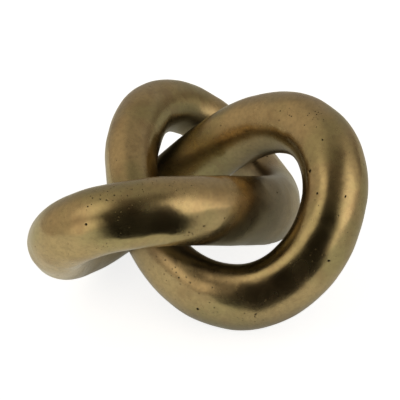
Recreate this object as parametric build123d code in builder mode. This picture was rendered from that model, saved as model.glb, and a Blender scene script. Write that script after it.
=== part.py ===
"""Knot puzzle: three cast-brass lobes that make one closed three-lobed knot.

The strand of the knot is cut at its three lowest points.  Each lobe holds a guide dowel in its
far end, and the dowel slides in a bore in the near end of the next lobe, so all three lobes have
to be drawn apart together.  The end faces are lapped and keep their sharp edges, so that a closed
joint hardly shows.  The joints are evenly spaced round an upright axis, and the lobes are alike
but for the way each leans at its crown.  Millimetres, +Z up.  The origin is the centre of the
knot, on that axis.  The strand parameter t is 0 at the first joint and gains 120 degrees a lobe.
"""

from cmath import exp
from math import cos, degrees, pi, sin
import os

from build123d import *

# The path of the strand
turn_radius = 40.0        # the winding that goes twice round the axis
offset_radius = 15.5      # the winding that goes once round and opens the three lobes
offset_lead = 0.04        # radians by which that winding is ahead
squeeze = 1.4             # how far each lobe is pressed out of true
squeeze_lead = 0.75       # radians, where on the lobe it is pressed
half_rise = 20.5          # height of the path above and below its middle

# The section of the strand, an upright oval
mean_half_width = 10.5
mean_half_height = 12.8
section_change = 1.1      # narrower and taller by this near the joints, the reverse on the arches
section_lag = 0.6         # radians of the change, by which it comes late

# The three lobes
lobe_count = 3
lobe_turn = 2 * pi / lobe_count
crown_leans = [(1.0, -1.4, 2.2), (0.1, 1.6, -1.5), (-2.1, -0.7, -0.7)]    # one a lobe, uneven
surface_rings = 24        # ovals along a lobe, through which its surface passes
surface_points = 16       # points round each oval
flat_depth = 0.7          # of the ground flats on which the knot rests, one across each joint

# The guide dowel and its two bores
dowel_radius = 4.0
dowel_held = 16.0         # length fixed in the far end of a lobe
dowel_sliding = 11.0      # length in the next lobe
dowel_chamfer = 0.8
hold_clearance = 0.01     # radial, in the bore that holds the dowel
slide_clearance = 0.05    # radial, in the bore in which it slides
bore_spare = 1.5          # depth beyond the tip of the dowel
bore_mouth = 0.6          # chamfer at the mouth of the sliding bore

# The friction ring, a rubber ring in a groove of the dowel
groove_place = 6.5        # from the seam
groove_width = 1.9
groove_depth = 1.3
ring_half_width = 0.83
ring_clearance = 0.02     # at the floor of the groove and at the wall of the bore

# The cone-point lock screw under each dowel
screw_radius = 2.0
screw_clearance = 0.02    # radial
screw_place = 10.0        # from the seam, in the lobe that holds the dowel
screw_length = 7.5
point_height = 1.4
point_radius = 0.6        # at the tip
point_sink = 1.0          # how far the point enters the dowel
socket_across_flats = 2.0
socket_depth = 2.5


def in_plan(value, height):
    """A vector whose plan position is given as a complex number."""
    return Vector(value.real, value.imag, height)


def strand_centre(t, lean):
    """The centre of the strand: three windings added in plan, a wave in height, and the lean.

    The lean is greatest half-way along the lobe, and fades out before its joints.
    """
    plan = turn_radius * exp(-2j * t)
    plan += 1j * offset_radius * exp(1j * (t + offset_lead))
    plan -= squeeze * exp(1j * (4 * t + squeeze_lead))
    return in_plan(plan, -half_rise * cos(3 * t)) + lean * (1 - cos(3 * t)) / 2


def strand_direction(t, lean):
    """The way the strand runs, the derivative of its centre."""
    plan = -2j * turn_radius * exp(-2j * t)
    plan -= offset_radius * exp(1j * (t + offset_lead))
    plan -= 4j * squeeze * exp(1j * (4 * t + squeeze_lead))
    even_part = in_plan(plan, 3 * half_rise * sin(3 * t))
    return (even_part + lean * 1.5 * sin(3 * t)).normalized()


def section_plane(t, lean=Vector(0, 0, 0)):
    """The plane across the strand, with its X axis level and its Y axis upwards."""
    direction = strand_direction(t, lean)
    level = Vector(0, 0, 1).cross(direction)
    return Plane(strand_centre(t, lean), x_dir=level, z_dir=direction)


def half_section(t):
    """Half the width and half the height of the strand."""
    change = section_change * cos(3 * t - section_lag)
    return mean_half_width - change, mean_half_height + change


def section_points(t, lean):
    """Points round the oval section, the last on top of the first."""
    plane = section_plane(t, lean)
    half_width, half_height = half_section(t)
    turns = [2 * pi * point / surface_points for point in range(surface_points + 1)]
    return [
        plane.from_local_coords(Vector(half_width * cos(turn), half_height * sin(turn)))
        for turn in turns
    ]


def strand_solid(lean):
    """One lobe's length of strand, before it is machined."""
    places = [lobe_turn * ring / surface_rings for ring in range(surface_rings + 1)]
    rings = [section_points(t, lean) for t in places]
    wall = Face.make_surface_from_array_of_points(rings, tol=0.01)
    ends = [Face(Wire([edge])) for edge in wall.edges() if edge.is_closed]
    return Solid(Shell([wall] + ends))


near_joint = section_plane(0)
far_joint = section_plane(lobe_turn)
rest_height = near_joint.origin.Z - half_section(0)[1] + flat_depth

screw_foot = far_joint.origin - far_joint.z_dir * screw_place
screw_tip = -dowel_radius + point_sink          # heights from the axis of the dowel
screw_foot_height = screw_foot.Z - rest_height

# Holes run down the -Z of the plane they are placed on, so these planes face out of the lobe
near_face = Plane(near_joint.origin, z_dir=-near_joint.z_dir)
far_face = Plane(far_joint.origin, z_dir=far_joint.z_dir)
under_screw = Plane((screw_foot.X, screw_foot.Y, rest_height), z_dir=(0, 0, -1))

# Upright planes along the dowel, with X towards the next lobe and Y upwards
dowel_plane = Plane(far_joint.origin, x_dir=far_joint.z_dir, z_dir=-far_joint.x_dir)
screw_plane = Plane(screw_foot, x_dir=far_joint.z_dir, z_dir=-far_joint.x_dir)
dowel_axis = Axis(far_joint.origin, far_joint.z_dir)
screw_axis = Axis(screw_foot, (0, 0, 1))


def cast_lobe(lean):
    """A lobe with its rest flats, its two bores and the hole of its screw."""
    with BuildPart() as lobe:
        add(strand_solid(lean))
        split(bisect_by=Plane.XY.offset(rest_height), keep=Keep.TOP)
        with Locations(near_face):
            sliding_bore_radius = dowel_radius + slide_clearance
            CounterSinkHole(
                radius=sliding_bore_radius,
                counter_sink_radius=sliding_bore_radius + bore_mouth,
                depth=dowel_sliding + bore_spare,
                counter_sink_angle=90,
            )
        with Locations(far_face):
            Hole(radius=dowel_radius + hold_clearance, depth=dowel_held + bore_spare)
        with Locations(under_screw):
            Hole(radius=screw_radius + screw_clearance, depth=screw_foot_height)
    return lobe


def draw_screw_point(clearance):
    """Half the outline of the screw's cone point, from its tip down to the full width."""
    tip = screw_tip + clearance
    base = tip - point_height
    Polyline(
        (0, tip),
        (point_radius + clearance, tip),
        (screw_radius + clearance, base),
        (0, base),
        close=True,
    )


groove_near = groove_place - groove_width / 2
groove_far = groove_place + groove_width / 2
groove_floor = dowel_radius - groove_depth

with BuildPart() as guide_dowel:
    with BuildSketch(dowel_plane):
        with BuildLine():
            Polyline(
                (-dowel_held, 0),
                (-dowel_held, dowel_radius - dowel_chamfer),
                (-dowel_held + dowel_chamfer, dowel_radius),
                (groove_near, dowel_radius),
                (groove_near, groove_floor),
                (groove_far, groove_floor),
                (groove_far, dowel_radius),
                (dowel_sliding - dowel_chamfer, dowel_radius),
                (dowel_sliding, dowel_radius - dowel_chamfer),
                (dowel_sliding, 0),
                close=True,
            )
        make_face()
    revolve(axis=dowel_axis)
    with BuildSketch(screw_plane):
        with BuildLine():
            draw_screw_point(screw_clearance)
        make_face()
    revolve(axis=screw_axis, mode=Mode.SUBTRACT)

ring_inner = groove_floor + ring_clearance
ring_outer = dowel_radius + slide_clearance - ring_clearance

with BuildPart() as friction_ring:
    with BuildSketch(dowel_plane):
        with Locations((groove_place, (ring_inner + ring_outer) / 2)):
            Ellipse(ring_half_width, (ring_outer - ring_inner) / 2)
    revolve(axis=dowel_axis)

screw_end = Plane(screw_foot + Vector(0, 0, screw_tip - screw_length), z_dir=(0, 0, -1))

with BuildPart() as lock_screw:
    with BuildSketch(screw_plane):
        with BuildLine():
            draw_screw_point(clearance=0)
        make_face()
    revolve(axis=screw_axis)
    with BuildSketch(screw_end):
        Circle(screw_radius)
    extrude(amount=-(screw_length - point_height))
    with BuildSketch(screw_end):
        RegularPolygon(radius=socket_across_flats / 2, side_count=6, major_radius=False)
    extrude(amount=-socket_depth, mode=Mode.SUBTRACT)

os.makedirs("parts", exist_ok=True)
for number in range(1, lobe_count + 1):
    around = degrees(lobe_turn) * (number - 1)
    pieces = {
        "lobe": cast_lobe(Vector(crown_leans[number - 1])),
        "guide_dowel": guide_dowel,
        "friction_ring": friction_ring,
        "lock_screw": lock_screw,
    }
    for name, piece in pieces.items():
        with BuildPart() as copy:
            add(piece.part, rotation=(0, 0, around))
        copy.part.label = f"{name}_{number}"
        export_step(copy.part, f"parts/{name}_{number}.step")
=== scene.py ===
"""Looks of the knot puzzle: cast antique brass lobes, steel dowels, rubber rings, black screws.

Lengths are in metres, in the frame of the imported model: the origin is the centre of the knot, on
the axis round which its three joints lie, and +Z is up.
"""

import math
import random

import bmesh
import bpy
import numpy as np
from mathutils import Matrix, Vector


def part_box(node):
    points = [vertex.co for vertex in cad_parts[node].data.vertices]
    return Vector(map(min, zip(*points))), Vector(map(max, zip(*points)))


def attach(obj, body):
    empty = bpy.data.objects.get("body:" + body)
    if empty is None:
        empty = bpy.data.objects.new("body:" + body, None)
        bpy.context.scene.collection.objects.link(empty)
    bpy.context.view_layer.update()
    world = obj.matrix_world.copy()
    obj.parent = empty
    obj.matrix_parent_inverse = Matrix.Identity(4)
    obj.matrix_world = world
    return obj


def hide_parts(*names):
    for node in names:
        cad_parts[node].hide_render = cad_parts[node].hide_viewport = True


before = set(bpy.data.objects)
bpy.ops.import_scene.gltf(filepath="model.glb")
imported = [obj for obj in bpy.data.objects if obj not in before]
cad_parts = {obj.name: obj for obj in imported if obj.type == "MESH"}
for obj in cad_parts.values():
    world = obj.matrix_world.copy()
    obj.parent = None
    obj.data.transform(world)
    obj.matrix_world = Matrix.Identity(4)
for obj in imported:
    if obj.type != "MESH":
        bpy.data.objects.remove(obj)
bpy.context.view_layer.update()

MM = 0.001

# The strand, as in the CAD model: t runs along it from 0 to 2 pi
TURN_RADIUS = 40.0 * MM        # the winding that goes twice round the axis
OFFSET_RADIUS = 15.5 * MM      # the winding that goes once round and opens the three lobes
OFFSET_LEAD = 0.04             # radians by which that winding is ahead
SQUEEZE = 1.4 * MM             # how far each lobe is pressed out of true
SQUEEZE_LEAD = 0.75            # radians, where on the lobe it is pressed
HALF_RISE = 20.5 * MM          # height of the path above and below its middle
MEAN_HALF_WIDTH = 10.5 * MM
MEAN_HALF_HEIGHT = 12.8 * MM
SECTION_CHANGE = 1.1 * MM      # narrower and taller by this near the joints, the reverse on top
SECTION_LAG = 0.6              # radians of the change, by which it comes late
CROWN_LEANS = np.array([(1.0, -1.4, 2.2), (0.1, 1.6, -1.5), (-2.1, -0.7, -0.7)]) * MM
LOBE_COUNT = 3
LOBE_TURN = 2 * math.pi / LOBE_COUNT
LOBE_LENGTH = 135 * MM         # along the middle of the strand, roughly
REST_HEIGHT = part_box("lobe_1")[0].z

# The bores of a lobe
SLIDING_BORE_RADIUS = 4.05 * MM
SLIDING_BORE_DEPTH = 12.5 * MM
BORE_MOUTH = 0.6 * MM
HOLDING_BORE_RADIUS = 4.01 * MM
HOLDING_BORE_DEPTH = 17.5 * MM
SCREW_HOLE_RADIUS = 2.02 * MM
SCREW_PLACE = 10.0 * MM        # from the joint, in the far end
SCREW_HOLE_REACH = HALF_RISE   # from the middle of the strand to well below the lobe
OVERHANG = 2 * MM              # how far the cutters of the bores stand out of the end faces

# Mesh density of a lobe's skin and of its bores
RINGS = 400
RING_POINTS = 160
BORE_POINTS = 64
SHARP_ANGLE = math.radians(35)

# The cast skin: low waves left by hand finishing, all of them below the even surface
WAVE_SEED = 7
WAVE_COUNT = 40
WAVE_LENGTHS = (9 * MM, 32 * MM)
WAVE_DEPTH = 0.11 * MM
WAVE_SUM = math.sqrt(WAVE_COUNT / 8)    # about how high their sum gets, in heights of the longest

# A few large casting pits: lobe, share of the way along it, degrees round it from its level side
# over the top, radius in mm
PLACED_PITS = [
    (1, 0.65, 140, 0.80),
    (1, 0.70, 60, 0.50),
    (1, 0.70, 110, 0.45),
    (1, 0.60, 110, 0.45),
    (1, 0.80, 20, 0.55),
    (1, 0.95, 0, 0.45),
    (2, 0.05, 0, 0.65),
    (2, 0.10, 40, 0.40),
    (3, 0.40, 350, 0.40),
    (3, 0.50, 70, 0.30),
]
# Groups of small pits: lobe, share of the way along it, degrees round it, spread in mm, count
PIT_GROUPS = [
    (1, 0.55, 100, 4, 14),
    (1, 0.50, 130, 4, 8),
    (1, 0.95, 0, 4, 10),
    (1, 0.25, 300, 6, 10),
    (2, 0.05, 20, 8, 18),
    (2, 0.10, 40, 6, 12),
    (2, 0.55, 80, 6, 12),
    (3, 0.40, 350, 4, 10),
    (3, 0.45, 90, 7, 16),
    (3, 0.50, 70, 6, 8),
    (3, 0.50, 90, 9, 26),
    (3, 0.70, 150, 6, 10),
]
STREWN_SMALL_PITS = 16         # a lobe, anywhere on it
STREWN_LARGE_PITS = 4          # a lobe, anywhere on it
SMALL_PIT_RADII = (0.16, 0.34)
LARGE_PIT_RADII = (0.35, 0.60)
PIT_STEEPNESS = 1.1            # depth over radius
PIT_ROUNDNESS = 1.5            # power of the bowl's profile
PIT_SQUASH = (0.6, 1.0)        # width over length
PIT_FREE_END = 0.012           # share of a lobe at each end that has no pits
PIT_SEED = 100
BOWL_SEED = 200

# The skin is refined round each pit, to this many radii and this much more
REFINE_REACH = 1.3
REFINE_MARGIN = 0.35 * MM
REFINE_ROUNDS = 2
FINEST_EDGE = 0.16 * MM


# ---------------------------------------------------------------- strand

def lean(t):
    """How far each point of the strand leans out of the even shape, and how fast that changes."""
    on_joint = 1e-9    # a place right on a joint counts to the lobe that starts there
    lobe_index = np.clip(np.floor(t / LOBE_TURN + on_joint).astype(int), 0, LOBE_COUNT - 1)
    around = LOBE_TURN * lobe_index
    crown = CROWN_LEANS[lobe_index]
    plan = (crown[..., 0] + 1j * crown[..., 1]) * np.exp(1j * around)
    crown = np.stack([plan.real, plan.imag, crown[..., 2]], axis=-1)
    share = (1 - np.cos(3 * t)) / 2
    return crown * share[..., None], crown * 1.5 * np.sin(3 * t)[..., None]


def strand_centre(t):
    """Points on the middle line of the strand."""
    t = np.asarray(t, dtype=float)
    plan = TURN_RADIUS * np.exp(-2j * t)
    plan = plan + 1j * OFFSET_RADIUS * np.exp(1j * (t + OFFSET_LEAD))
    plan = plan - SQUEEZE * np.exp(1j * (4 * t + SQUEEZE_LEAD))
    even = np.stack([plan.real, plan.imag, -HALF_RISE * np.cos(3 * t)], axis=-1)
    return even + lean(t)[0]


def strand_axes(t):
    """Unit vectors along the strand, level across it and upwards across it."""
    t = np.asarray(t, dtype=float)
    plan = -2j * TURN_RADIUS * np.exp(-2j * t)
    plan = plan - OFFSET_RADIUS * np.exp(1j * (t + OFFSET_LEAD))
    plan = plan - 4j * SQUEEZE * np.exp(1j * (4 * t + SQUEEZE_LEAD))
    along = np.stack([plan.real, plan.imag, 3 * HALF_RISE * np.sin(3 * t)], axis=-1)
    along = along + lean(t)[1]
    along = along / np.linalg.norm(along, axis=-1, keepdims=True)
    level = np.cross([0.0, 0.0, 1.0], along)
    level = level / np.linalg.norm(level, axis=-1, keepdims=True)
    return along, level, np.cross(along, level)


def strand_surface(t, turn):
    """Points on the oval skin, for an array of t and an array of turns round the section."""
    along, level, upright = strand_axes(t)
    change = SECTION_CHANGE * np.cos(3 * t - SECTION_LAG)
    sideways = ((MEAN_HALF_WIDTH - change) * np.cos(turn))[..., None] * level
    upwards = ((MEAN_HALF_HEIGHT + change) * np.sin(turn))[..., None] * upright
    return strand_centre(t) + sideways + upwards


# ---------------------------------------------------------------- mesh helpers

def new_object(name, data):
    """Puts a mesh or a camera into the scene."""
    piece = bpy.data.objects.new(name, data)
    bpy.context.scene.collection.objects.link(piece)
    return piece


def sheet(name, corners):
    """A piece that is one flat face."""
    mesh = bpy.data.meshes.new(name)
    mesh.from_pydata(corners, [], [(0, 1, 2, 3)])
    return new_object(name, mesh)


def lathe_cutter(name, profile, base, axis):
    """A closed turned solid: profile is (distance along axis, radius) from end to end."""
    mesh_maker = bmesh.new()
    axis = Vector(axis).normalized()
    across = axis.orthogonal().normalized()
    other = axis.cross(across)
    rings = []
    for distance, radius in profile:
        ring = []
        for point in range(BORE_POINTS):
            turn = 2 * math.pi * point / BORE_POINTS
            spoke = across * math.cos(turn) + other * math.sin(turn)
            ring.append(mesh_maker.verts.new(Vector(base) + axis * distance + spoke * radius))
        rings.append(ring)
    for ring, next_ring in zip(rings, rings[1:]):
        for point in range(BORE_POINTS):
            following = (point + 1) % BORE_POINTS
            mesh_maker.faces.new(
                (ring[point], ring[following], next_ring[following], next_ring[point])
            )
    mesh_maker.faces.new(reversed(rings[0]))
    mesh_maker.faces.new(rings[-1])
    mesh = bpy.data.meshes.new(name)
    mesh_maker.to_mesh(mesh)
    mesh_maker.free()
    return new_object(name, mesh)


def cut(piece, cutters, cut_material):
    """Takes the cutters out of the piece and deletes them."""
    for cutter in cutters:
        cutter.data.materials.append(cut_material)
        modifier = piece.modifiers.new(cutter.name, "BOOLEAN")
        modifier.operation = "DIFFERENCE"
        modifier.solver = "EXACT"
        modifier.material_mode = "TRANSFER"
        modifier.object = cutter
    graph = bpy.context.evaluated_depsgraph_get()
    mesh = bpy.data.meshes.new_from_object(piece.evaluated_get(graph))
    piece.modifiers.clear()
    piece.data = mesh
    for cutter in cutters:
        bpy.data.objects.remove(cutter)


def shade(mesh):
    """Smooth shading that keeps machined edges sharp."""
    for polygon in mesh.polygons:
        polygon.use_smooth = True
    mesh_maker = bmesh.new()
    mesh_maker.from_mesh(mesh)
    for edge in mesh_maker.edges:
        edge.smooth = len(edge.link_faces) == 2 and edge.calc_face_angle(0.0) < SHARP_ANGLE
    mesh_maker.to_mesh(mesh)
    mesh_maker.free()


# ---------------------------------------------------------------- lobes

def cast_waves(points):
    """How far the skin lies below the even surface at each point, from 0 to twice WAVE_DEPTH."""
    chance = np.random.default_rng(WAVE_SEED)
    height = np.zeros(points.shape[:-1])
    for _ in range(WAVE_COUNT):
        heading = chance.normal(size=3)
        heading /= np.linalg.norm(heading)
        length = math.exp(chance.uniform(math.log(WAVE_LENGTHS[0]), math.log(WAVE_LENGTHS[1])))
        phase = chance.uniform(0, 2 * math.pi)
        height += length * np.sin(points @ heading * 2 * math.pi / length + phase)
    height *= WAVE_DEPTH / (WAVE_LENGTHS[1] * WAVE_SUM)
    return np.clip(WAVE_DEPTH + height, 0, 2 * WAVE_DEPTH)


def pits_of(number):
    """Every pit of a lobe, as (share of the way along it, angle round it, radius)."""
    chance = random.Random(PIT_SEED + number)
    mean_radius = (MEAN_HALF_WIDTH + MEAN_HALF_HEIGHT) / 2
    pits = []
    for lobe_number, share, turn, radius in PLACED_PITS:
        if lobe_number == number:
            pits.append((share, math.radians(turn), radius * MM))
    for lobe_number, share, turn, spread, count in PIT_GROUPS:
        if lobe_number != number:
            continue
        for _ in range(count):
            along = share + chance.gauss(0, spread * MM / 2) / LOBE_LENGTH
            across = math.radians(turn) + chance.gauss(0, spread * MM / 2) / mean_radius
            pits.append((along, across, chance.uniform(*SMALL_PIT_RADII) * MM))
    strewn = [(STREWN_SMALL_PITS, SMALL_PIT_RADII), (STREWN_LARGE_PITS, LARGE_PIT_RADII)]
    for count, radii in strewn:
        for _ in range(count):
            radius = chance.uniform(*radii) * MM
            pits.append((chance.uniform(0, 1), chance.uniform(0, 2 * math.pi), radius))
    return [pit for pit in pits if PIT_FREE_END < pit[0] < 1 - PIT_FREE_END]


def pit_bowls(number):
    """The pits of a lobe in space: middle, outward direction, radius, squash and tilt."""
    chance = random.Random(BOWL_SEED + number)
    bowls = []
    for share, turn, radius in pits_of(number):
        t = LOBE_TURN * (number - 1 + share)
        middle = strand_surface(np.array(t), np.array(turn))
        outward = middle - strand_centre(t)
        outward = outward / np.linalg.norm(outward)
        clear_of_flats = middle[2] > REST_HEIGHT + 2 * radius
        if clear_of_flats:
            squash = chance.uniform(*PIT_SQUASH)
            tilt = chance.uniform(0, math.pi)
            bowls.append((middle, outward, radius, squash, tilt))
    return bowls


def refine_round(mesh_maker, bowls):
    """Splits the edges of the skin round each pit, so that the pit gets enough points."""
    for _ in range(REFINE_ROUNDS):
        points = np.array([vertex.co for vertex in mesh_maker.verts])
        mesh_maker.verts.ensure_lookup_table()
        close = set()
        for middle, _, radius, _, _ in bowls:
            reach = radius * REFINE_REACH + REFINE_MARGIN
            near = np.linalg.norm(points - middle, axis=1) < reach
            for index in np.nonzero(near)[0]:
                close.update(mesh_maker.verts[index].link_edges)
        edges = [edge for edge in close if edge.calc_length() > FINEST_EDGE]
        edges.sort(key=lambda edge: edge.index)
        bmesh.ops.subdivide_edges(mesh_maker, edges=edges, cuts=1, use_grid_fill=True)
        mesh_maker.edges.index_update()


def sink_pits(mesh, number):
    """Presses the pits of a lobe into its skin, and marks how deep each point lies in one."""
    bowls = pit_bowls(number)
    mesh_maker = bmesh.new()
    mesh_maker.from_mesh(mesh)
    depth_layer = mesh_maker.verts.layers.float.new("pit")
    refine_round(mesh_maker, bowls)
    points = np.array([vertex.co for vertex in mesh_maker.verts])
    mesh_maker.verts.ensure_lookup_table()
    for middle, outward, radius, squash, tilt in bowls:
        level = np.cross([0.0, 0.0, 1.0], outward)
        level = level / np.linalg.norm(level)
        other = np.cross(outward, level)
        long_way = level * math.cos(tilt) + other * math.sin(tilt)
        short_way = other * math.cos(tilt) - level * math.sin(tilt)
        offset = points - middle
        far = np.hypot(offset @ long_way, offset @ short_way / squash) / radius
        this_side = np.abs(offset @ outward) < 2 * MM
        for index in np.nonzero((far < 1) & this_side)[0]:
            depth = (1 - far[index] ** 2) ** PIT_ROUNDNESS
            vertex = mesh_maker.verts[index]
            vertex.co -= Vector(outward * depth * radius * PIT_STEEPNESS)
            vertex[depth_layer] = max(vertex[depth_layer], depth)
    mesh_maker.to_mesh(mesh)
    mesh_maker.free()


def lobe_skin(name, number):
    """The closed skin of one lobe, with flat ends and its rest flats."""
    start = LOBE_TURN * (number - 1)
    t = start + LOBE_TURN * np.arange(RINGS + 1) / RINGS
    turn = 2 * math.pi * np.arange(RING_POINTS) / RING_POINTS
    t_grid, turn_grid = np.meshgrid(t, turn, indexing="ij")
    even = strand_surface(t_grid, turn_grid)
    inward = strand_centre(t)[:, None, :] - even
    inward /= np.linalg.norm(inward, axis=-1, keepdims=True)
    points = (even + inward * cast_waves(even)[..., None]).reshape(-1, 3)
    points[:, 2] = np.maximum(points[:, 2], REST_HEIGHT)
    faces = []
    for ring in range(RINGS):
        for point in range(RING_POINTS):
            following = (point + 1) % RING_POINTS
            near = ring * RING_POINTS
            far = near + RING_POINTS
            faces.append((near + point, near + following, far + following, far + point))
    last_ring = RINGS * RING_POINTS
    faces.append(tuple(range(RING_POINTS))[::-1])
    faces.append(tuple(range(last_ring, last_ring + RING_POINTS)))
    mesh = bpy.data.meshes.new(name)
    mesh.from_pydata(points.tolist(), [], faces)
    mesh.update()
    sink_pits(mesh, number)
    return mesh


def mark_machined(mesh):
    """Gives the two ends and the rest flats of a lobe their own material slot."""
    flat_tolerance = 0.001 * MM
    most_skin_corners = 12
    for polygon in mesh.polygons:
        corners = [mesh.vertices[index].co.z for index in polygon.vertices]
        flat = max(corners) < REST_HEIGHT + flat_tolerance
        if flat or len(polygon.vertices) > most_skin_corners:
            polygon.material_index = 1


def bore_cutters(number):
    """The cutters of a lobe's sliding bore, holding bore and screw hole."""
    near, far = LOBE_TURN * (number - 1), LOBE_TURN * number
    near_end, far_end = strand_centre(near), strand_centre(far)
    near_axis, far_axis = strand_axes(near)[0], strand_axes(far)[0]
    sliding_bore = lathe_cutter(
        "sliding_bore",
        [
            (-OVERHANG, SLIDING_BORE_RADIUS + BORE_MOUTH + OVERHANG),
            (BORE_MOUTH, SLIDING_BORE_RADIUS),
            (SLIDING_BORE_DEPTH, SLIDING_BORE_RADIUS),
        ],
        near_end,
        near_axis,
    )
    holding_bore = lathe_cutter(
        "holding_bore",
        [(-OVERHANG, HOLDING_BORE_RADIUS), (HOLDING_BORE_DEPTH, HOLDING_BORE_RADIUS)],
        far_end,
        -far_axis,
    )
    screw_hole = lathe_cutter(
        "screw_hole",
        [(0, SCREW_HOLE_RADIUS), (SCREW_HOLE_REACH, SCREW_HOLE_RADIUS)],
        far_end - far_axis * SCREW_PLACE,
        (0, 0, -1),
    )
    return [sliding_bore, holding_bore, screw_hole]


def lobe(number, skin_material, machined_material):
    """One cast lobe with its bores, in place of the CAD's lobe and on the same body."""
    name = f"brass_lobe_{number}"
    piece = new_object(name, lobe_skin(name, number))
    piece.data.materials.append(skin_material)
    piece.data.materials.append(machined_material)
    mark_machined(piece.data)
    cut(piece, bore_cutters(number), machined_material)
    shade(piece.data)
    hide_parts(f"lobe_{number}")
    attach(piece, f"lobe_{number}_set")


# ---------------------------------------------------------------- node trees

class Nodes:
    """Short calls for building one node tree; most give back an output socket."""

    def __init__(self, tree):
        self.tree = tree

    def feed(self, value, target):
        """Links a socket to an input, or gives the input a fixed value."""
        if isinstance(value, bpy.types.NodeSocket):
            self.tree.links.new(value, target)
        else:
            target.default_value = value

    def add(self, kind, inputs=None, **settings):
        """A new node, with its inputs by name or number and its other settings by name."""
        node = self.tree.nodes.new(kind)
        for name, value in settings.items():
            setattr(node, name, value)
        for name, value in (inputs or {}).items():
            self.feed(value, node.inputs[name])
        return node

    def place(self):
        """Where a point is on its own object, in metres."""
        return self.add("ShaderNodeTexCoord").outputs["Object"]

    def math(self, operation, *values):
        node = self.add("ShaderNodeMath", dict(enumerate(values)), operation=operation)
        return node.outputs[0]

    def vector_math(self, operation, first, second):
        """Gives back both outputs, "Vector" and "Value"."""
        return self.add("ShaderNodeVectorMath", {0: first, 1: second}, operation=operation).outputs

    def fade(self, value, low, high, at_low=0.0, at_high=1.0):
        """A smooth step from at_low to at_high while value goes from low to high."""
        values = {
            "Value": value,
            "From Min": low,
            "From Max": high,
            "To Min": at_low,
            "To Max": at_high,
        }
        node = self.add("ShaderNodeMapRange", values, interpolation_type="SMOOTHSTEP")
        return node.outputs["Result"]

    def blend(self, share, first, second):
        """Goes from the first colour to the second while share goes from 0 to 1."""
        node = self.add("ShaderNodeMix", data_type="RGBA")
        # The node has a set of sockets for each kind of data; these are the ones for colours.
        factor, first_input, second_input = node.inputs[0], node.inputs[6], node.inputs[7]
        self.feed(share, factor)
        self.feed(first, first_input)
        self.feed(second, second_input)
        return node.outputs[2]

    def noise(self, place, size, detail=3.0, roughness=0.5):
        """Cloudy noise whose patches are about size metres across."""
        values = {"Vector": place, "Scale": 1 / size, "Detail": detail, "Roughness": roughness}
        return self.add("ShaderNodeTexNoise", values).outputs[0]

    def streaks(self, place, turn, length, width):
        """Noise drawn out along one direction."""
        values = {
            "Vector": place,
            "Rotation": turn,
            "Scale": (1 / length, 1 / width, 1 / width),
        }
        drawn_out = self.add("ShaderNodeMapping", values).outputs[0]
        values = {"Vector": drawn_out, "Scale": 1.0, "Detail": 2.0}
        return self.add("ShaderNodeTexNoise", values).outputs[0]

    def specks(self, place, spacing, radius, share):
        """1 inside small round specks, which a share of the cells of a random net hold."""
        values = {"Vector": place, "Scale": 1 / spacing}
        net = self.add("ShaderNodeTexVoronoi", values)
        cell = self.add("ShaderNodeSeparateColor", {0: net.outputs["Color"]}).outputs[0]
        chosen = self.math("LESS_THAN", cell, share)
        edge = radius / spacing
        inside = self.fade(net.outputs["Distance"], 0.4 * edge, edge, 1.0, 0.0)
        return self.math("MULTIPLY", inside, chosen)

    def bump(self, height, distance, below=None):
        """Tilts the surface as if it rose by distance where height is 1, on top of another bump."""
        values = {"Height": height, "Distance": distance, "Strength": 1.0}
        if below is not None:
            values["Normal"] = below
        return self.add("ShaderNodeBump", values).outputs[0]


def colour(red, green, blue):
    """A solid colour, from its three linear parts."""
    return (red, green, blue, 1.0)


def new_material(name):
    """A material, the short calls for its nodes and its surface node."""
    material = bpy.data.materials.new(name)
    material.use_nodes = True
    return material, Nodes(material.node_tree), material.node_tree.nodes["Principled BSDF"]


def wire(nodes, surface, values):
    """Feeds the named inputs of a material's surface."""
    for name, value in values.items():
        nodes.feed(value, surface.inputs[name])


# ---------------------------------------------------------------- materials

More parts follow.
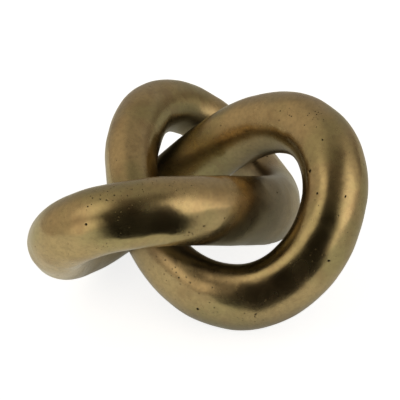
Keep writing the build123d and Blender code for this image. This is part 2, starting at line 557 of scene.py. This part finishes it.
def cast_brass():
    """Satin cast brass, brown and olive with age, pitted and scratched, with painted shade and
    patina in its hollows.
    """
    material, nodes, surface = new_material("antique_cast_brass")
    place = nodes.place()

    blotches = nodes.fade(nodes.noise(place, 30 * MM, 4.0), 0.42, 0.62)
    stains = nodes.fade(nodes.noise(place, 9 * MM, 5.0, 0.6), 0.48, 0.72)
    mottle = nodes.noise(place, 1.6 * MM, 4.0, 0.65)
    grain = nodes.noise(place, 0.35 * MM, 2.0)

    # Ambient occlusion finds where the strands crowd each other; the colour is darkened there as
    # painted shade, partly as patina.
    open_air = nodes.add("ShaderNodeAmbientOcclusion", {"Distance": 26 * MM}, samples=6)
    recess_shade_and_patina = nodes.fade(open_air.outputs["AO"], 0.35, 0.96, 1.0, 0.0)
    crowding = nodes.fade(nodes.noise(place, 14 * MM, 2.0), 0.45, 0.7, 0.03, 0.38)
    fine_pits = nodes.specks(place, 1.1 * MM, 0.22 * MM, crowding)
    pin_holes = nodes.specks(place, 4.5 * MM, 0.35 * MM, 0.25)
    pits = nodes.math("MAXIMUM", fine_pits, pin_holes)
    sunk = nodes.add("ShaderNodeAttribute", attribute_name="pit").outputs["Fac"]
    long_scratches = nodes.streaks(place, (0.3, 0.5, 0.9), 22 * MM, 0.16 * MM)
    cross_scratches = nodes.streaks(place, (1.1, -0.4, 2.2), 14 * MM, 0.12 * MM)
    scratches = nodes.math(
        "MAXIMUM",
        nodes.fade(long_scratches, 0.66, 0.74),
        nodes.fade(cross_scratches, 0.66, 0.74),
    )

    mottling = nodes.fade(mottle, 0.35, 0.75, 0.0, 0.5)
    tint = nodes.blend(blotches, colour(0.52, 0.385, 0.19), colour(0.42, 0.345, 0.16))
    tint = nodes.blend(nodes.math("MULTIPLY", stains, 0.6), tint, colour(0.35, 0.235, 0.115))
    tint = nodes.blend(mottling, tint, colour(0.30, 0.225, 0.115))
    # Painted shade and patina: the colour goes towards near black where the strands crowd each
    # other.
    tint = nodes.blend(nodes.math("MULTIPLY", recess_shade_and_patina, 0.75), tint, colour(0.080, 0.070, 0.055))
    tint = nodes.blend(nodes.math("MULTIPLY", pits, 0.9), tint, colour(0.05, 0.035, 0.02))
    tint = nodes.blend(nodes.math("MULTIPLY", sunk, 0.85), tint, colour(0.04, 0.03, 0.02))
    tint = nodes.blend(nodes.math("MULTIPLY", scratches, 0.25), tint, colour(0.60, 0.47, 0.27))

    rough = nodes.fade(nodes.noise(place, 12 * MM, 4.0), 0.3, 0.7, 0.18, 0.29)
    pitted = nodes.math("MAXIMUM", pits, sunk)
    rough = nodes.math("ADD", rough, nodes.math("MULTIPLY", pitted, 0.3))
    rough = nodes.math("ADD", rough, nodes.math("MULTIPLY", recess_shade_and_patina, 0.12))

    swell = nodes.bump(nodes.noise(place, 7 * MM, 3.0), 0.05 * MM)
    swell = nodes.bump(mottle, 0.016 * MM, swell)
    swell = nodes.bump(grain, 0.003 * MM, swell)
    swell = nodes.bump(nodes.math("MULTIPLY", pits, -1.0), 0.05 * MM, swell)
    swell = nodes.bump(nodes.math("MULTIPLY", scratches, -1.0), 0.004 * MM, swell)

    wire(
        nodes,
        surface,
        {
            "Base Color": tint,
            "Metallic": 1.0,
            "Roughness": rough,
            "Normal": swell,
            "Specular Tint": colour(0.95, 0.93, 0.90),
            "Coat Weight": 0.06,
            "Coat Roughness": 0.4,
        },
    )
    return material


def machined_brass():
    """Lapped and bored faces: bare yellow brass with fine tool marks."""
    material, nodes, surface = new_material("machined_brass")
    place = nodes.place()
    marks = nodes.streaks(place, (0.2, 0.1, 0.4), 9 * MM, 0.1 * MM)
    smears = nodes.fade(nodes.noise(place, 4 * MM, 4.0), 0.42, 0.7)
    tint = nodes.blend(smears, colour(0.68, 0.50, 0.24), colour(0.50, 0.37, 0.18))
    wire(
        nodes,
        surface,
        {
            "Base Color": tint,
            "Metallic": 1.0,
            "Roughness": nodes.fade(marks, 0.3, 0.7, 0.18, 0.34),
            "Normal": nodes.bump(marks, 0.004 * MM),
        },
    )
    return material


def ground_steel():
    """Bright ground steel with a fine grain left by the grinding wheel."""
    material, nodes, surface = new_material("ground_steel")
    place = nodes.place()
    marks = nodes.noise(place, 0.12 * MM, 2.0)
    smears = nodes.fade(nodes.noise(place, 5 * MM, 4.0), 0.4, 0.7)
    tint = nodes.blend(smears, colour(0.62, 0.62, 0.63), colour(0.50, 0.49, 0.47))
    rough = nodes.fade(nodes.noise(place, 1.2 * MM, 3.0), 0.3, 0.7, 0.18, 0.32)
    wire(
        nodes,
        surface,
        {
            "Base Color": tint,
            "Metallic": 1.0,
            "Roughness": rough,
            "Normal": nodes.bump(marks, 0.004 * MM),
        },
    )
    return material


def ring_rubber():
    """Matt black rubber with a dusty, slightly uneven face."""
    material, nodes, surface = new_material("ring_rubber")
    place = nodes.place()
    dust = nodes.fade(nodes.noise(place, 0.9 * MM, 4.0), 0.45, 0.7)
    tint = nodes.blend(dust, colour(0.016, 0.016, 0.017), colour(0.05, 0.048, 0.045))
    wire(
        nodes,
        surface,
        {
            "Base Color": tint,
            "Roughness": nodes.fade(dust, 0.0, 1.0, 0.55, 0.8),
            "Normal": nodes.bump(nodes.noise(place, 0.25 * MM, 3.0), 0.01 * MM),
        },
    )
    return material


def black_steel():
    """Black-oxide steel, rubbed brown-grey in places."""
    material, nodes, surface = new_material("black_oxide_steel")
    place = nodes.place()
    rubbed = nodes.fade(nodes.noise(place, 1.1 * MM, 4.0, 0.6), 0.5, 0.72)
    tint = nodes.blend(rubbed, colour(0.035, 0.035, 0.038), colour(0.16, 0.15, 0.14))
    wire(
        nodes,
        surface,
        {
            "Base Color": tint,
            "Metallic": 0.9,
            "Roughness": nodes.fade(rubbed, 0.0, 1.0, 0.5, 0.3),
            "Normal": nodes.bump(nodes.noise(place, 0.18 * MM, 3.0), 0.006 * MM),
        },
    )
    return material


# ---------------------------------------------------------------- the object

skin_brass = cast_brass()
bare_brass = machined_brass()
hardware = {
    "guide_dowel": ground_steel(),
    "friction_ring": ring_rubber(),
    "lock_screw": black_steel(),
}

for number in range(1, LOBE_COUNT + 1):
    lobe(number, skin_brass, bare_brass)
    for name, material in hardware.items():
        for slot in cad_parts[f"{name}_{number}"].material_slots:
            slot.material = material


# ---------------------------------------------------------------- studio

# The camera, at the photograph's viewing angle
CAMERA_PLACE = Vector((-149.3, 158.9, 143.3)) * MM
CAMERA_AIM = Vector((-1.1, 1.2, -2.4)) * MM
CAMERA_ROLL = math.radians(-10.0)
LENS = 59.1                    # both in mm, as Blender takes them
SENSOR_WIDTH = 36
NEAREST_SEEN = 10 * MM

# The floor, and the pool of light painted into its colour and glow, which the brass mirrors.
# Along each axis: where the painted pool starts to get lighter, where it is fully lit, and its
# light before that, as a share.
FLOOR_HALF_SIDE = 2000 * MM
FLOOR_GAP = 0.05 * MM          # below the rest flats
POOL_ALONG_Y = (-70 * MM, 50 * MM, 0.65)
POOL_ALONG_X = (-160 * MM, -30 * MM, 0.90)

# The tent round the object: azimuth, elevation, half-width and half-height in degrees, softness of
# the edge, and colour.  Each panel covers the ones before it.
TENT_WALL = (0.375, 0.340, 0.290)
PANELS = [
    (40, 40, 45, 42, 1.6, (0.58, 0.51, 0.415)),         # the lit roof
    (-60, 15, 50, 26, 1.4, (0.38, 0.365, 0.36)),        # the white back wall
    (-122, -2, 24, 20, 1.0, (0.25, 0.215, 0.18)),       # the wall in shade
    (-168, 8, 33, 46, 1.2, (0.64, 0.57, 0.48)),         # the tall soft light
    (141, 50, 38, 34, 0.8, (0.14, 0.117, 0.09)),        # the slit that the camera looks through
    (-179, 10, 19, 32, 1.4, (1.62, 1.47, 1.27)),        # the bright middle of the tall soft light
]
PANEL_SQUARENESS = 4.0         # power of the rounded panel shape: 2 gives an oval

# Two soft lights close to the knot, one above and one beside it: the middle of each and half the
# side of its square
LAMPS = [
    ("lamp_above", (28 * MM, 128 * MM, 150 * MM), 85 * MM),
    ("lamp_beside", (-8 * MM, 205 * MM, 60 * MM), 75 * MM),
]
LAMP_GLOW = (1.15, 1.02, 0.84)
LAMP_CORE = 0.25               # share of its half side that has the full glow

# Two dark curtains below the slit, which meet in a corner: where they meet, height, and for each
# its heading on the floor and the length over which it is solid before it thins out
CURTAIN_CORNER = (-53 * MM, 46 * MM)
CURTAIN_TOP = 95 * MM
CURTAINS = [
    ("side_curtain", (0.21, 1), 60 * MM),
    ("front_curtain", (-1, 0), 70 * MM),
]
CURTAIN_FADE = 65 * MM


def towards(azimuth, elevation):
    """The unit vector towards a place on the tent."""
    level = math.cos(elevation)
    return Vector((level * math.cos(azimuth), level * math.sin(azimuth), math.sin(elevation)))


def panel(nodes, direction, azimuth, elevation, half_width, half_height, softness):
    """1 on a panel with rounded corners that faces the object, fading to 0 outside it."""
    azimuth, elevation = math.radians(azimuth), math.radians(elevation)
    middle = towards(azimuth, elevation)
    aside = towards(azimuth + math.pi / 2, 0) / math.tan(math.radians(half_width))
    upwards = towards(azimuth, elevation + math.pi / 2) / math.tan(math.radians(half_height))

    facing = nodes.vector_math("DOT_PRODUCT", direction, middle)["Value"]
    barely_ahead = 0.001
    ahead = nodes.math("MAXIMUM", facing, barely_ahead)

    def offset(axis):
        """How far from the panel's middle along one axis, 1 at its edge, raised to the power."""
        along = nodes.vector_math("DOT_PRODUCT", direction, axis)["Value"]
        share = nodes.math("ABSOLUTE", nodes.math("DIVIDE", along, ahead))
        return nodes.math("POWER", share, PANEL_SQUARENESS)

    far = nodes.math("ADD", offset(aside), offset(upwards))
    far = nodes.math("POWER", far, 1 / PANEL_SQUARENESS)
    inside = nodes.fade(far, 1 - softness / 2, 1 + softness / 2, 1.0, 0.0)
    return nodes.math("MULTIPLY", inside, nodes.math("GREATER_THAN", facing, 0.0))


def tent():
    """The world: white to the camera, and a dim tent with soft lights to everything else."""
    world = bpy.data.worlds.new("tent")
    world.use_nodes = True
    nodes = Nodes(world.node_tree)
    direction = nodes.add("ShaderNodeTexCoord").outputs["Generated"]
    light = colour(*TENT_WALL)
    for *place, softness, tint in PANELS:
        share = panel(nodes, direction, *place, softness)
        light = nodes.blend(share, light, colour(*tint))
    seen = nodes.add("ShaderNodeLightPath").outputs["Is Camera Ray"]
    light = nodes.blend(seen, light, colour(1.0, 1.0, 1.0))
    background = world.node_tree.nodes["Background"]
    nodes.feed(light, background.inputs["Color"])
    bpy.context.scene.world = world


def floor():
    """A white floor, overexposed to the camera; what the brass mirrors of it is a painted pool of
    light.

    It has no underside, so that the knot can also be seen from below.
    """
    half = FLOOR_HALF_SIDE
    level = REST_HEIGHT - FLOOR_GAP
    corners = [(-half, -half), (half, -half), (half, half), (-half, half)]
    piece = sheet("floor", [(x, y, level) for x, y in corners])
    material, nodes, surface = new_material("pale_floor")
    place = nodes.add("ShaderNodeSeparateXYZ", {0: nodes.place()})
    # Painted light: to everything but the camera, the floor's colour and glow fade along y and x as
    # a pool.
    painted_pool = nodes.math(
        "MULTIPLY",
        nodes.fade(place.outputs["Y"], *POOL_ALONG_Y),
        nodes.fade(place.outputs["X"], *POOL_ALONG_X),
    )
    seen = nodes.add("ShaderNodeLightPath").outputs["Is Camera Ray"]
    underside = nodes.add("ShaderNodeNewGeometry").outputs["Backfacing"]
    unlit = colour(0.0, 0.0, 0.0)
    # Painted light: the mirrored floor is white and glowing inside the painted pool, dimmer outside
    # it.
    pool_white = nodes.blend(painted_pool, unlit, colour(0.76, 0.78, 0.73))
    pool_glow = nodes.blend(painted_pool, unlit, colour(0.43, 0.445, 0.415))
    wire(
        nodes,
        surface,
        {
            "Base Color": nodes.blend(seen, pool_white, colour(0.85, 0.86, 0.88)),
            "Roughness": 0.95,
            "Specular IOR Level": 0.0,
            "Emission Color": nodes.blend(seen, pool_glow, colour(0.78, 0.79, 0.80)),
            "Emission Strength": 1.0,
            "Alpha": nodes.math("SUBTRACT", 1.0, underside),
        },
    )
    piece.data.materials.append(material)


def only_mirrored(piece):
    """Makes a stage piece show in the brass alone, hidden from the camera and without a shadow."""
    piece.visible_camera = False
    piece.visible_diffuse = False
    piece.visible_shadow = False


def lamp(name, place, half_side):
    """A soft light, facing the origin, that fades towards its edges."""
    middle = Vector(place)
    facing = middle.normalized()
    aside = Vector((0, 0, 1)).cross(facing).normalized() * half_side
    upwards = facing.cross(aside)
    signs = [(-1, -1), (1, -1), (1, 1), (-1, 1)]
    piece = sheet(name, [middle + aside * right + upwards * up for right, up in signs])
    only_mirrored(piece)
    material, nodes, surface = new_material(name)
    distance = nodes.vector_math("DISTANCE", nodes.place(), middle)["Value"]
    cover = nodes.fade(distance, LAMP_CORE * half_side, half_side, 1.0, 0.0)
    wire(
        nodes,
        surface,
        {
            "Base Color": colour(0.0, 0.0, 0.0),
            "Specular IOR Level": 0.0,
            "Emission Color": colour(*LAMP_GLOW),
            "Emission Strength": 1.0,
            "Alpha": cover,
        },
    )
    piece.data.materials.append(material)


def curtain(name, heading, solid_length):
    """One dark curtain, from the corner along its heading."""
    corner = Vector((*CURTAIN_CORNER, REST_HEIGHT))
    side = Vector((*heading, 0)) * (solid_length + CURTAIN_FADE)
    height = Vector((0, 0, CURTAIN_TOP + CURTAIN_FADE - REST_HEIGHT))
    piece = sheet(name, [corner, corner + side, corner + side + height, corner + height])
    only_mirrored(piece)
    material, nodes, surface = new_material(name)
    place = nodes.place()
    weave = nodes.noise(place, 2 * MM, 3.0)
    tint = nodes.blend(weave, colour(0.012, 0.010, 0.008), colour(0.03, 0.026, 0.02))
    from_corner = nodes.vector_math("SUBTRACT", place, corner)["Vector"]
    length = nodes.vector_math("DOT_PRODUCT", from_corner, Vector((*heading, 0)))["Value"]
    level = nodes.add("ShaderNodeSeparateXYZ", {0: place}).outputs["Z"]
    cover = nodes.math(
        "MULTIPLY",
        nodes.fade(length, solid_length, solid_length + CURTAIN_FADE, 1.0, 0.0),
        nodes.fade(level, CURTAIN_TOP - CURTAIN_FADE, CURTAIN_TOP + CURTAIN_FADE, 1.0, 0.0),
    )
    wire(
        nodes,
        surface,
        {"Base Color": tint, "Roughness": 1.0, "Specular IOR Level": 0.0, "Alpha": cover},
    )
    piece.data.materials.append(material)


def camera():
    """Sets up the one camera."""
    data = bpy.data.cameras.new("camera")
    data.sensor_width = SENSOR_WIDTH
    data.lens = LENS
    data.clip_start = NEAREST_SEEN
    eye = new_object("camera", data)
    look = (CAMERA_AIM - CAMERA_PLACE).to_track_quat("-Z", "Y").to_matrix()
    rolled = look @ Matrix.Rotation(CAMERA_ROLL, 3, "Z")
    eye.matrix_world = Matrix.Translation(CAMERA_PLACE) @ rolled.to_4x4()
    bpy.context.scene.camera = eye


floor()
for lamp_shape in LAMPS:
    lamp(*lamp_shape)
for curtain_shape in CURTAINS:
    curtain(*curtain_shape)
camera()
tent()
bpy.context.scene.view_settings.view_transform = "Standard"
